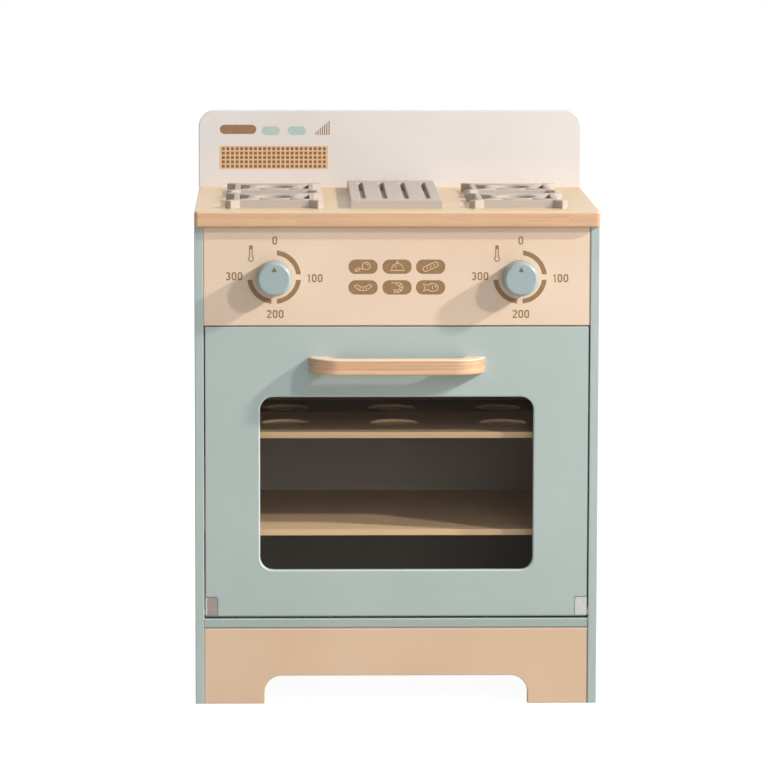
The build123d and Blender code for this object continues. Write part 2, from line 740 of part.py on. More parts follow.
# ---------------------------------------------------------------- magnetic catch
with BuildPart() as catch_housing:
    with BuildSketch(Plane.XY.offset(catch_bottom)):
        with Locations((0, catch_mid_y)):
            Rectangle(catch_width, catch_depth)
    extrude(amount=catch_height)
    with BuildSketch(upright(catch_front_y)):
        with Locations((0, control_bottom - catch_height / 2)):
            Rectangle(magnet_width, magnet_height)
    extrude(amount=-magnet_depth, mode=Mode.SUBTRACT)
    with Locations(*catch_places):
        CounterSinkHole(small_screw_radius, small_head_radius, counter_sink_angle=90)
catch_housing.part.label = "catch_housing"
export_step(catch_housing.part, "parts/catch_housing.step")

with BuildPart() as catch_magnet:
    with BuildSketch(upright(catch_front_y)):
        with Locations((0, control_bottom - catch_height / 2)):
            Rectangle(magnet_width, magnet_height)
    extrude(amount=-magnet_depth)
catch_magnet.part.label = "catch_magnet"
export_step(catch_magnet.part, "parts/catch_magnet.step")

with BuildPart() as strike_plate:
    with BuildSketch(upright(panel_back_y)):
        with Locations((0, strike_z)):
            Rectangle(strike_width, strike_height)
    extrude(amount=-strike_thickness)
    with Locations(*strike_places):
        CounterSinkHole(small_screw_radius, strike_sink_radius, counter_sink_angle=90)
strike_plate.part.label = "strike_plate"
export_step(strike_plate.part, "parts/strike_plate.step")

# ---------------------------------------------------------------- knobs
# A wooden knob with a threaded insert turns on a screw that comes through the panel from behind.
for hand, side in (("left", -1), ("right", 1)):
    knob_x = side * knob_offset
    with BuildPart() as knob:
        with BuildSketch(upright(front_y - spacer_thickness)):
            with Locations((knob_x, knob_z)):
                Circle(knob_radius)
        extrude(amount=knob_height)
        chamfer(knob.faces().sort_by(Axis.Y)[0].edges(), length=knob_bevel)
        with Locations(seen_from_behind(knob_x, front_y - spacer_thickness, knob_z)):
            Hole(insert_radius, depth=insert_length)
    knob.part.label = f"knob_{hand}"
    export_step(knob.part, f"parts/knob_{hand}.step")

    with BuildPart() as knob_insert:
        with BuildSketch(upright(front_y - spacer_thickness)):
            with Locations((knob_x, knob_z)):
                Circle(insert_radius)
                Circle(knob_screw_radius, mode=Mode.SUBTRACT)
        extrude(amount=insert_length)
    knob_insert.part.label = f"knob_insert_{hand}"
    export_step(knob_insert.part, f"parts/knob_insert_{hand}.step")

    with BuildPart() as knob_spacer:
        with BuildSketch(upright(front_y)):
            with Locations((knob_x, knob_z)):
                Circle(spacer_radius)
                Circle(knob_screw_radius, mode=Mode.SUBTRACT)
        extrude(amount=spacer_thickness)
    knob_spacer.part.label = f"knob_spacer_{hand}"
    export_step(knob_spacer.part, f"parts/knob_spacer_{hand}.step")

    with BuildPart() as knob_washer:
        with BuildSketch(upright(panel_back_y)):
            with Locations((knob_x, knob_z)):
                Circle(washer_radius)
                Circle(knob_screw_radius, mode=Mode.SUBTRACT)
        extrude(amount=-washer_thickness)
    knob_washer.part.label = f"knob_washer_{hand}"
    export_step(knob_washer.part, f"parts/knob_washer_{hand}.step")

    spindle_length = washer_thickness + board + spacer_thickness + insert_length
    spindle = pan_screw(knob_screw_radius, knob_head_radius, knob_head_height, spindle_length)
    with BuildPart() as knob_screw:
        with Locations(seen_from_behind(knob_x, panel_back_y + washer_thickness, knob_z)):
            add(spindle)
    knob_screw.part.label = f"knob_screw_{hand}"
    export_step(knob_screw.part, f"parts/knob_screw_{hand}.step")

# ---------------------------------------------------------------- screws and dowels
for hand, side in (("left", -1), ("right", 1)):
    with BuildPart() as side_screws:
        with Locations(*from_the_side(side, side_points)):
            add(side_screw)
    side_screws.part.label = f"side_screws_{hand}"
    export_step(side_screws.part, f"parts/side_screws_{hand}.step")

with BuildPart() as back_screws:
    with Locations(*back_places):
        add(back_screw)
back_screws.part.label = "back_screws"
export_step(back_screws.part, "parts/back_screws.step")

with BuildPart() as hob_screws:
    with Locations(*hob_places):
        add(hob_screw)
hob_screws.part.label = "hob_screws"
export_step(hob_screws.part, "parts/hob_screws.step")

with BuildPart() as cleat_screws:
    with Locations(*cleat_places):
        add(cleat_screw)
cleat_screws.part.label = "cleat_screws"
export_step(cleat_screws.part, "parts/cleat_screws.step")

with BuildPart() as worktop_dowels:
    with Locations(*[from_above(x, y, cabinet_height) for x, y in worktop_dowel_xy]):
        add(worktop_dowel)
worktop_dowels.part.label = "worktop_dowels"
export_step(worktop_dowels.part, "parts/worktop_dowels.step")

with BuildPart() as splash_dowels:
    with Locations(*[from_above(x, y, worktop_top) for x, y in splash_dowel_xy]):
        add(splash_dowel)
splash_dowels.part.label = "splash_dowels"
export_step(splash_dowels.part, "parts/splash_dowels.step")

with BuildPart() as catch_screws:
    with Locations(*catch_places):
        add(catch_screw)
catch_screws.part.label = "catch_screws"
export_step(catch_screws.part, "parts/catch_screws.step")

with BuildPart() as strike_screws:
    with Locations(*strike_places):
        add(strike_screw)
strike_screws.part.label = "strike_screws"
export_step(strike_screws.part, "parts/strike_screws.step")

with BuildPart() as hinge_screws:
    for side in (-1, 1):
        with Locations(Plane(origin=(side * door_edge, pivot_y, hinge_screw_z), z_dir=(side, 0, 0))):
            add(hinge_screw)
hinge_screws.part.label = "hinge_screws"
export_step(hinge_screws.part, "parts/hinge_screws.step")

with BuildPart() as pane_screws:
    with Locations(*pane_places):
        add(pane_screw)
pane_screws.part.label = "pane_screws"
export_step(pane_screws.part, "parts/pane_screws.step")

with BuildPart() as handle_screws:
    with Locations(*handle_places):
        add(handle_screw)
handle_screws.part.label = "handle_screws"
export_step(handle_screws.part, "parts/handle_screws.step")
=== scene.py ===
import json
from math import asin, atan2, cos, hypot, pi, radians, sin, sqrt

import bmesh
import bpy
from mathutils import Matrix, Vector


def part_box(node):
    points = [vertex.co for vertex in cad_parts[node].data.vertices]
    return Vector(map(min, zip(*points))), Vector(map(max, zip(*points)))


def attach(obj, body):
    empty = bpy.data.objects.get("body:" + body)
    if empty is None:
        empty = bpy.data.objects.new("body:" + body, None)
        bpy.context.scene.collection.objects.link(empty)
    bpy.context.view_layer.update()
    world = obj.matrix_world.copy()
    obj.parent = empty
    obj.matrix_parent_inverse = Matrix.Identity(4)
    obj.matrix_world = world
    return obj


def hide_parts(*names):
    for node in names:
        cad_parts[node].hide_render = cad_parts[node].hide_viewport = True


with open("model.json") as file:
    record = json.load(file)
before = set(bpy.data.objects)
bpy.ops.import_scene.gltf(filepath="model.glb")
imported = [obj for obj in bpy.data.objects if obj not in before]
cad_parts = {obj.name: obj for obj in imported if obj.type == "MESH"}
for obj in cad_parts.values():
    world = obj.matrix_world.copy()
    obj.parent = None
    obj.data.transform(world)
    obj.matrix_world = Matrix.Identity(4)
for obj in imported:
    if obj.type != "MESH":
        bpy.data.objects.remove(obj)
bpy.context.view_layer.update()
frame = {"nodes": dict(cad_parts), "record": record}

# A toy oven for pretend cooking, in the order in which it is put together. Sizes in the sections
# are in millimetres on the object and are turned into metres where a mesh is made. X runs to the
# right, the front faces -Y and Z is up.
nodes = frame["nodes"]

# ---------------------------------------------------------------- side panels, floor board and door
# Boards of 9 mm MDF, rubbed down and sprayed with a satin lacquer in pale mint green. The spray
# leaves a very fine orange peel and a faint drift of tone over a board. Inside the oven the side
# panels have only their grey primer.
MM = 0.001


def linear(colour):
    """An sRGB hex colour as the linear colour that a socket takes."""
    channels = [int(colour[i:i + 2], 16) / 255 for i in (1, 3, 5)]
    return [c / 12.92 if c <= 0.04045 else ((c + 0.055) / 1.055) ** 2.4 for c in channels] + [1.0]


def node(tree, kind, inputs=None, **settings):
    """Adds a node; inputs maps a socket's name or number to a value or to another node's output."""
    made = tree.nodes.new(kind)
    for name, value in settings.items():
        setattr(made, name, value)
    for key, value in (inputs or {}).items():
        if isinstance(value, bpy.types.NodeSocket):
            tree.links.new(value, made.inputs[key])
        else:
            made.inputs[key].default_value = value
    return made.outputs


def new_material(name):
    """A material with an empty node tree, and the object coordinates to build on."""
    material = bpy.data.materials.new(name)
    material.use_nodes = True
    material.node_tree.nodes.clear()
    place = node(material.node_tree, "ShaderNodeTexCoord")["Object"]
    return material, material.node_tree, place


def dress(names, material):
    """Gives CAD nodes their finish."""
    for name in names:
        nodes[name].data.materials.clear()
        nodes[name].data.materials.append(material)


def banded(tree, place, tint, bands):
    """Strips of other colours across a tint: axis, middle and half width in mm, colour, share."""
    axes = node(tree, "ShaderNodeSeparateXYZ", {"Vector": place})
    for axis, middle, half, colour, share in bands:
        strip = node(
            tree, "ShaderNodeMath", {0: axes[axis], 1: middle * MM, 2: half * MM},
            operation="COMPARE",
        )[0]
        strip = node(tree, "ShaderNodeMath", {0: strip, 1: share}, operation="MULTIPLY")[0]
        tint = node(
            tree, "ShaderNodeMix", {0: strip, 6: tint, 7: linear(colour)}, data_type="RGBA"
        )[2]
    return tint


def painted_rim_highlight(tree, place, tint, outline, reach, colour, share):
    """Painted highlight: paler paint along a rounded rectangle and its mirror image.

    The outline is its middle x and z, half its width and height and its corner radius; reach is
    how far outside it the strip begins and ends, all in mm.
    """
    x, z, width, height, radius = outline
    away = node(
        tree, "ShaderNodeVectorMath", {0: place, 1: (0.0, 0.0, z * MM)}, operation="SUBTRACT"
    )[0]
    away = node(tree, "ShaderNodeVectorMath", {0: away}, operation="ABSOLUTE")[0]
    away = node(
        tree, "ShaderNodeVectorMath", {0: away, 1: (x * MM, 0.0, 0.0)}, operation="SUBTRACT"
    )[0]
    away = node(tree, "ShaderNodeVectorMath", {0: away}, operation="ABSOLUTE")[0]
    core = ((width - radius) * MM, 1.0, (height - radius) * MM)
    away = node(tree, "ShaderNodeVectorMath", {0: away, 1: core}, operation="SUBTRACT")[0]
    away = node(tree, "ShaderNodeVectorMath", {0: away, 1: (0, 0, 0)}, operation="MAXIMUM")[0]
    away = node(tree, "ShaderNodeVectorMath", {0: away}, operation="LENGTH")["Value"]
    middle, half = radius + sum(reach) / 2, (reach[1] - reach[0]) / 2
    strip = node(
        tree, "ShaderNodeMath", {0: away, 1: middle * MM, 2: half * MM}, operation="COMPARE"
    )[0]
    strip = node(tree, "ShaderNodeMath", {0: strip, 1: share}, operation="MULTIPLY")[0]
    return node(
        tree, "ShaderNodeMix", {0: strip, 6: tint, 7: linear(colour)}, data_type="RGBA"
    )[2]


def sprayed(name, colour, shade, roughness, bands=(), edge=None, coat=0.0):
    """Satin lacquer sprayed on a board or a turned piece."""
    material, tree, place = new_material(name)
    drift = node(tree, "ShaderNodeTexNoise", {"Vector": place, "Scale": 7.0, "Detail": 3.0})[0]
    spread = node(tree, "ShaderNodeMapRange", {"Value": drift, "From Min": 0.3, "From Max": 0.7})[0]
    tint = node(
        tree, "ShaderNodeMix", {0: spread, 6: linear(colour), 7: linear(shade)}, data_type="RGBA"
    )[2]
    # Pin-prick specks of dust under the lacquer, a millimetre or so apart
    speck = node(tree, "ShaderNodeTexNoise", {"Vector": place, "Scale": 620.0, "Detail": 2.0})[0]
    dust = node(
        tree, "ShaderNodeMapRange",
        {"Value": speck, "From Min": 0.25, "From Max": 0.75, "To Min": 0.972, "To Max": 1.02},
    )[0]
    tint = node(
        tree, "ShaderNodeMix", {0: 1.0, 6: tint, 7: dust}, data_type="RGBA", blend_type="MULTIPLY"
    )[2]
    tint = banded(tree, place, tint, bands)
    # the edge option paints a pale rim along an outline, a painted highlight
    if edge:
        tint = painted_rim_highlight(tree, place, tint, *edge)
    # Orange peel: drawn at 1.6 mm, twice its real size, so that it shows
    peel = node(tree, "ShaderNodeTexNoise", {"Vector": place, "Scale": 600.0, "Detail": 1.0})[0]
    bump = node(
        tree, "ShaderNodeBump", {"Height": peel, "Strength": 0.12, "Distance": 0.0002}
    )[0]
    gloss = node(
        tree, "ShaderNodeMapRange",
        {"Value": drift, "To Min": roughness - 0.04, "To Max": roughness + 0.04},
    )[0]
    shader = node(
        tree, "ShaderNodeBsdfPrincipled",
        {
            "Base Color": tint, "Roughness": gloss, "Normal": bump, "Specular IOR Level": 0.4,
            "Coat Weight": coat, "Coat Roughness": 0.2,
        },
    )[0]
    node(tree, "ShaderNodeOutputMaterial", {"Surface": shader})
    return material


mint, mint_drift = "#B3C1BE", "#ACBBB7"
# a painted highlight runs along the chamfer round the window, and painted shade darkens the door's upright edges
# beside their gaps
window = (0.0, 221.75, 135.5, 86.75, 13.0)
dress(
    ["door_panel"],
    sprayed(
        "mint satin lacquer on MDF", mint, mint_drift, 0.45,
        bands=[("X", 189.75, 0.45, "#2F3432", 0.75), ("X", -189.9, 0.3, "#2F3432", 0.6)],
        edge=(window, (0.08, 1.3), "#DCE3DF", 0.5),
    ),
)
dress(
    ["side_panel_left", "side_panel_right"],
    sprayed(
        "mint satin lacquer, grey primer inside", mint, mint_drift, 0.45,
        bands=[("X", 0.0, 191.15, "#A9A39D", 1.0)],
    ),
)
# the floor board is sprayed a little darker than the door, with a painted shadow at its right-hand joint and a
# painted highlight along its upper arris
dress(
    ["bottom_board"],
    sprayed(
        "mint satin lacquer on a sawn edge", "#A8B6B2", "#A1AFAB", 0.5,
        bands=[("X", 190.5, 0.55, "#5B635F", 0.8), ("Z", 85.6, 0.7, "#C3CFCB", 0.5)],
    ),
)

# ---------------------------------------------------------------- oven roof and back panel
# Thin MDF, sawn to size: brown felted wood fibre with darker flecks, and quite matt. The faces that
# look into the oven are primed pale grey; the back panel is bare where it shows from behind.


def bare_board(name, pale, deep, primer):
    """Bare MDF with felted fibres a millimetre or two long; primed in front of its back face."""
    material, tree, place = new_material(name)
    felt = node(tree, "ShaderNodeTexNoise", {"Vector": place, "Scale": 420.0, "Detail": 4.0})[0]
    cloud = node(tree, "ShaderNodeTexNoise", {"Vector": place, "Scale": 24.0, "Detail": 2.0})[0]
    both = node(tree, "ShaderNodeMath", {0: felt, 1: cloud}, operation="ADD")[0]
    spread = node(tree, "ShaderNodeMapRange", {"Value": both, "From Min": 0.7, "From Max": 1.3})[0]
    tint = node(
        tree, "ShaderNodeMix", {0: spread, 6: linear(pale), 7: linear(deep)}, data_type="RGBA"
    )[2]
    tint = banded(tree, place, tint, [("Y", 0.0, 157.5, primer, 0.88)])
    bump = node(tree, "ShaderNodeBump", {"Height": felt, "Strength": 0.2, "Distance": 0.0003})[0]
    shader = node(
        tree, "ShaderNodeBsdfPrincipled", {"Base Color": tint, "Roughness": 0.85, "Normal": bump}
    )[0]
    node(tree, "ShaderNodeOutputMaterial", {"Surface": shader})
    return material


dress(
    ["oven_roof", "back_panel"],
    bare_board("bare MDF, primed inside", "#C2AB90", "#A98F72", primer="#AEA8A3"),
)

# ---------------------------------------------------------------- plinth and control panel
# The same MDF boards, sprayed in a warm cream. The plinth stands under the oven floor, and the
# control panel above the door carries the knobs and the printed dials.
# Where they meet the side panels, a fine joint is painted on: a painted shadow dark on the right and a painted
# highlight pale on the left.
joint_shadow_and_highlight = [("X", 190.45, 0.6, "#6E6352", 0.85), ("X", -190.6, 0.4, "#F3E6D6", 0.5)]
dress(
    ["control_panel"],
    sprayed("cream satin lacquer on MDF", "#EAD3BC", "#E4CBB2", 0.45, bands=joint_shadow_and_highlight),
)
# the plinth is sprayed darker than the control panel as painted shade near the floor, with a painted shadow line
# under the floor board and a painted highlight on its upper arris
dress(
    ["plinth_board"],
    sprayed(
        "cream satin lacquer, painted shade near the floor", "#E0C3A7", "#D9BA9C", 0.45,
        bands=joint_shadow_and_highlight + [("Z", 76.5, 0.5, "#857C69", 0.8), ("Z", 75.4, 0.6, "#F0DCC8", 0.5)],
    ),
)

# ---------------------------------------------------------------- dials and signs on the panel
# Screen-printed in brown ink straight on the lacquer: round each knob a scale of three arcs with
# plain numbers and a thermometer, and between the knobs six pills with drawings of food. The ink
# is a film that stands a few hundredths of a millimetre proud.
INK = 0.05
panel_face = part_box("control_panel")[0].y
knob_axes = [
    tuple((a + b) / 2 / MM for a, b in zip(*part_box(f"knob_{hand}"))) for hand in ("left", "right")
]


def ink(name, colour, deep):
    """Matt screen-printing ink, a little thinner in places."""
    material, tree, place = new_material(name)
    thin = node(tree, "ShaderNodeTexNoise", {"Vector": place, "Scale": 260.0, "Detail": 4.0})[0]
    spread = node(tree, "ShaderNodeMapRange", {"Value": thin, "From Min": 0.3, "From Max": 0.7})[0]
    tint = node(
        tree, "ShaderNodeMix", {0: spread, 6: linear(deep), 7: linear(colour)}, data_type="RGBA"
    )[2]
    shader = node(tree, "ShaderNodeBsdfPrincipled", {"Base Color": tint, "Roughness": 0.6})[0]
    node(tree, "ShaderNodeOutputMaterial", {"Surface": shader})
    return material


def film(form, outline, at, face, low=0.0, high=INK):
    """A patch of ink on an upright face: a closed outline of (x, z) points round a place."""
    rings = [
        [form.verts.new(((at[0] + x) * MM, face - level * MM, (at[1] + z) * MM)) for x, z in outline]
        for level in (low, high)
    ]
    form.faces.new(rings[0])
    form.faces.new(rings[1])
    for i, here in enumerate(rings[0]):
        form.faces.new((rings[0][i - 1], here, rings[1][i], rings[1][i - 1]))


def stroke(form, path, width, at, face, low=0.0, high=INK, closed=False):
    """A drawn line of even width through the (x, z) points of a path."""
    points = [Vector(p) for p in path]
    last = len(points) - 1
    steps = [(points[(i + 1) % len(points)] - p).normalized() for i, p in enumerate(points)]
    rows = []
    for i, p in enumerate(points):
        after = steps[i] if closed or i < last else steps[i - 1]
        before = steps[i - 1] if closed or i else after
        lean = Vector((-before.y - after.y, before.x + after.x)).normalized()
        # mitred at a corner, but never longer than one and a half widths
        lean *= width / 2 / max(lean.dot(Vector((-after.y, after.x))), 0.67)
        rows.append([
            form.verts.new(((at[0] + q.x) * MM, face - level * MM, (at[1] + q.y) * MM))
            for q, level in ((p + lean, low), (p + lean, high), (p - lean, high), (p - lean, low))
        ])
    for i in range(0 if closed else 1, len(rows)):
        for k in range(4):
            form.faces.new((rows[i - 1][k], rows[i][k], rows[i][k - 3], rows[i - 1][k - 3]))
    if not closed:
        form.faces.new(rows[0])
        form.faces.new(rows[-1])


def arc(radius, start, end, steps=12, centre=(0.0, 0.0), flat=1.0):
    """Points on an arc between two angles in degrees; flat squeezes its height."""
    angles = [radians(start + (end - start) * i / steps) for i in range(steps + 1)]
    return [(centre[0] + radius * cos(a), centre[1] + radius * flat * sin(a)) for a in angles]


def rounded(width, height, radius, steps=6):
    """A rectangle with rounded corners."""
    x, z = width / 2 - radius, height / 2 - radius
    corners = ((x, z, 0), (-x, z, 90), (-x, -z, 180), (x, -z, 270))
    return [p for cx, cz, a in corners for p in arc(radius, a, a + 90, steps, (cx, cz))]


def piece(name, form, material, body, replaced=()):
    """Makes a finished form a piece of the object that rides on a body."""
    bmesh.ops.recalc_face_normals(form, faces=form.faces)
    mesh = bpy.data.meshes.new(name)
    form.to_mesh(mesh)
    form.free()
    mesh.materials.append(material)
    made = bpy.data.objects.new(name, mesh)
    bpy.context.scene.collection.objects.link(made)
    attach(made, body)
    if replaced:
        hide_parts(*replaced)
    return made


def turned(form, profile, segments=24):
    """A closed form turned about an axis along Y from (radius, y) points in mm."""
    rings = []
    for radius, y in profile:
        around = 1 if radius == 0 else segments
        rings.append([
            form.verts.new((radius * MM * cos(2 * pi * i / around), y * MM,
                            radius * MM * sin(2 * pi * i / around)))
            for i in range(around)
        ])
    for one, two in zip(rings, rings[1:]):
        for i in range(segments):
            corners = [one[i % len(one)], one[(i + 1) % len(one)],
                       two[(i + 1) % len(two)], two[i % len(two)]]
            form.faces.new(list(dict.fromkeys(corners)))
    return rings


brown_ink = ink("brown screen ink", "#98774F", "#8C6B49")

# Numbers as they stand on a dial: narrow and upright, 8 mm tall. Each has its advance and strokes.
pen = 1.4
digits = {
    "0": (5.9, [(rounded(3.4, 6.8, 1.65, 5), True)]),
    "1": (4.4, [([(-1.2, 2.0), (0.3, 3.35), (0.3, -4.05)], False)]),
    "2": (5.9, [(arc(1.75, 165, -25, 10, (0, 1.65)) + [(-1.75, -3.35), (2.3, -3.35)], False)]),
    "3": (5.9, [
        (arc(1.65, 150, -80, 10, (-0.1, 1.75)), False),
        (arc(1.8, 85, -150, 10, (-0.1, -1.6)), False),
    ]),
}


def number(form, text, at):
    left = at[0] - sum(digits[digit][0] for digit in text) / 2
    for digit in text:
        advance, strokes = digits[digit]
        x = left + advance / 2
        for level, (path, closed) in enumerate(strokes):
            stroke(form, path, pen, (x, at[1]), panel_face, high=INK + 0.01 * level, closed=closed)
        left += advance


scale_outer, scale_inner, scale_gap = 26.5, 21.8, 2.75
for hand, (x, _, z) in zip(("left", "right"), knob_axes):
    form = bmesh.new()
    for across, up in ((1, 1), (1, -1), (-1, -1)):
        outline = []
        for radius, turn in ((scale_outer, 1), (scale_inner, -1)):
            start = asin(scale_gap / radius) * 180 / pi
            outline += arc(radius, start, 90 - start, 20)[::turn]
        film(form, [(across * px, up * pz) for px, pz in outline], (x, z), panel_face)
    number(form, "0", (x + 0.6, z + 36.2))
    number(form, "100", (x + 40.2, z - 1.1))
    number(form, "200", (x + 0.9, z - 36.6))
    number(form, "300", (x - 39.6, z + 0.9))
    # thermometer: a narrow tube with a bulb below and a filled top
    tube = arc(1.35, 150, 30, 5, (0, 5.2)) + [(1.35, -3.4)]
    tube += arc(2.35, 55, -235, 14, (0, -5.4)) + [(-1.35, -3.4)]
    stroke(form, tube, 1.05, (x - 22.9, z + 23.4), panel_face, closed=True)
    film(form, arc(1.85, 0, 345, 23, (0, 6.2), 1.15), (x - 22.9, z + 23.4), panel_face, high=INK + 0.01)
    piece(f"dial_print_{hand}", form, brown_ink, "cabinet")

pills = bmesh.new()
signs = bmesh.new()
line = 0.85


def draw(path, at, closed=False, level=0):
    """A pale line of a drawing, on top of its pill."""
    low, high = INK, INK * (2 + 0.3 * level)
    stroke(signs, path, line, at, panel_face, low, high, closed)


def spun(path, angle, centre=(0.0, 0.0)):
    """A path turned by an angle in degrees and moved."""
    c, s = cos(radians(angle)), sin(radians(angle))
    return [(centre[0] + c * px - s * pz, centre[1] + s * px + c * pz) for px, pz in path]


def drumstick(at):
    draw(arc(3.9, 215, -125, 22, (3.0, 0.7), 0.92) + [(-3.4, -2.0)], at, True)
    draw(spun(rounded(5.0, 2.2, 1.05, 4), 25, (-5.6, -3.1)), at, True, 1)
    draw(arc(2.0, 100, 10, 6, (3.0, 0.7)), at, level=2)


def dish_cover(at):
    draw(arc(5.6, 0, 180, 16, (0.3, -2.4)), at)
    draw([(-6.9, -3.6), (7.5, -3.6)], at, level=1)
    draw(arc(0.9, 0, 330, 11, (0.3, 4.4)), at, True, 2)
    draw(arc(3.3, 100, 150, 5, (0.3, -2.4)), at, level=1)


def loaf(at):
    draw(spun(rounded(15.6, 5.0, 2.45, 5), 24), at, True)
    for along in (-3.6, 0.0, 3.6):
        draw(spun([(-0.9, -0.8), (0.9, 0.8)], 24, (along * 0.91, along * 0.41)), at, level=1)


def crescent_roll(at):
    outer = arc(9.6, 208, 332, 16, (0, 5.6), 0.92)
    inner = arc(7.6, 322, 218, 12, (0, 6.6), 0.8)
    draw(outer + inner, at, True)
    for a in (248, 270, 292):
        draw([p for r in (9.2, 7.0) for p in arc(r, a, a, 1, (0, 5.9), 0.88)[:1]], at, level=1)


def prawn(at):
    draw(arc(4.7, 120, -95, 14, (0.9, 0.1)) + arc(2.1, -80, 120, 9, (0.9, 0.1)), at, True)
    draw([(0.4, -4.6), (-3.2, -5.2), (-1.9, -3.4), (-3.4, -2.2), (0.4, -2.6)], at, level=1)
    for a in (45, 0, -45):
        draw([p for r in (4.6, 2.2) for p in arc(r, a, a, 1, (0.9, 0.1))[:1]], at, level=2)
    draw([(-1.4, 4.2), (-5.6, 4.6)], at, level=1)


def fish(at):
    draw(arc(5.4, 150, -150, 20, (2.1, 0), 0.72), at)
    draw([(-2.6, 1.95), (-7.0, 3.6), (-5.4, 0.0), (-7.0, -3.6), (-2.6, -1.95)], at, level=1)
    draw(arc(0.5, 0, 315, 7, (5.0, 0.9)), at, True)
    draw(arc(2.6, 130, 230, 6, (4.3, 0), 0.9), at, level=1)


drawings = ((drumstick, dish_cover, loaf), (crescent_roll, prawn, fish))
for row, z in zip(drawings, (438.0, 417.5)):
    for drawing, x in zip(row, (-33.6, -0.1, 33.0)):
        film(pills, rounded(28.8, 14.2, 6.7), (x, z), panel_face)
        drawing((x, z))
piece("sign_pills", pills, brown_ink, "cabinet")
piece("sign_drawings", signs, ink("cream line in the ink", "#E0C3A0", "#D3B48F"), "cabinet")

# ---------------------------------------------------------------- cleats, dowels and shelves
# Plain light wood, planed and left without a finish. The cleats and dowels hold the worktop on;
# the shelves slide into the grooves of the side panels and show their front edges.


def solid_wood(name, pale, deep, stave, coat, turn=(0.0, 0.0, 0.0), bands=()):
    """Planed wood with its grain along X, glued up from staves of that length and width in mm."""
    material, tree, uncut = new_material(name)
    place = node(tree, "ShaderNodeMapping", {"Vector": uncut, "Rotation": turn})[0]
    length, width = (size * MM for size in stave)
    lot = node(
        tree, "ShaderNodeTexBrick",
        {
            "Vector": place, "Color1": (0, 0, 0, 1), "Color2": (1, 1, 1, 1), "Scale": 1.0,
            "Mortar Size": 0.0, "Bias": 0.0, "Brick Width": length, "Row Height": width,
        },
        offset=0.37,
    )[0]
    # each stave is cut from another part of the plank
    own = node(
        tree, "ShaderNodeVectorMath", {0: lot, 1: (1.7, 0.9, 0.6), 2: place},
        operation="MULTIPLY_ADD",
    )[0]
    long_grain = node(tree, "ShaderNodeMapping", {"Vector": own, "Scale": (5.0, 95.0, 95.0)})[0]
    streak = node(
        tree, "ShaderNodeTexNoise",
        {"Vector": long_grain, "Scale": 1.0, "Detail": 5.0, "Roughness": 0.62, "Distortion": 0.5},
    )[0]
    tilted = node(
        tree, "ShaderNodeMapping",
        {"Vector": own, "Rotation": (0.55, 0.0, 0.0), "Scale": (0.05, 1.0, 1.0)},
    )[0]
    # growth rings about 6 mm apart
    rings = node(
        tree, "ShaderNodeTexWave",
        {"Vector": tilted, "Scale": 52.0, "Distortion": 5.0, "Detail": 3.0, "Detail Scale": 0.35},
        wave_type="BANDS", bands_direction="Y", wave_profile="SAW",
    )[1]
    fine = node(tree, "ShaderNodeMapping", {"Vector": own, "Scale": (40.0, 820.0, 820.0)})[0]
    pore = node(tree, "ShaderNodeTexNoise", {"Vector": fine, "Scale": 1.0, "Detail": 2.0})[0]
    grain = node(tree, "ShaderNodeMath", {0: streak, 1: 0.75}, operation="MULTIPLY")[0]
    grain = node(
        tree, "ShaderNodeMath", {0: rings, 1: 0.25, 2: grain}, operation="MULTIPLY_ADD"
    )[0]
    spread = node(tree, "ShaderNodeMapRange", {"Value": grain, "From Min": 0.2, "From Max": 0.8})[0]
    tint = node(
        tree, "ShaderNodeMix", {0: spread, 6: linear(pale), 7: linear(deep)}, data_type="RGBA"
    )[2]
    shade = node(
        tree, "ShaderNodeMapRange", {"Value": lot, "To Min": 0.93, "To Max": 1.05}
    )[0]
    fleck = node(
        tree, "ShaderNodeMapRange",
        {"Value": pore, "From Min": 0.56, "From Max": 0.74, "To Min": 1.0, "To Max": 0.86},
    )[0]
    shade = node(tree, "ShaderNodeMath", {0: shade, 1: fleck}, operation="MULTIPLY")[0]
    tint = node(
        tree, "ShaderNodeMix", {0: 1.0, 6: tint, 7: shade}, data_type="RGBA", blend_type="MULTIPLY"
    )[2]
    tint = banded(tree, uncut, tint, bands)
    relief = node(tree, "ShaderNodeMath", {0: streak, 1: fleck}, operation="MULTIPLY")[0]
    bump = node(tree, "ShaderNodeBump", {"Height": relief, "Strength": 0.2, "Distance": 0.0004})[0]
    rough = 0.42 if coat else 0.6
    gloss = node(
        tree, "ShaderNodeMapRange", {"Value": grain, "To Min": rough, "To Max": rough + 0.12}
    )[0]
    shader = node(
        tree, "ShaderNodeBsdfPrincipled",
        {
            "Base Color": tint, "Roughness": gloss, "Normal": bump, "Coat Weight": coat,
            "Coat Roughness": 0.3,
        },
    )[0]
    node(tree, "ShaderNodeOutputMaterial", {"Surface": shader})
    return material


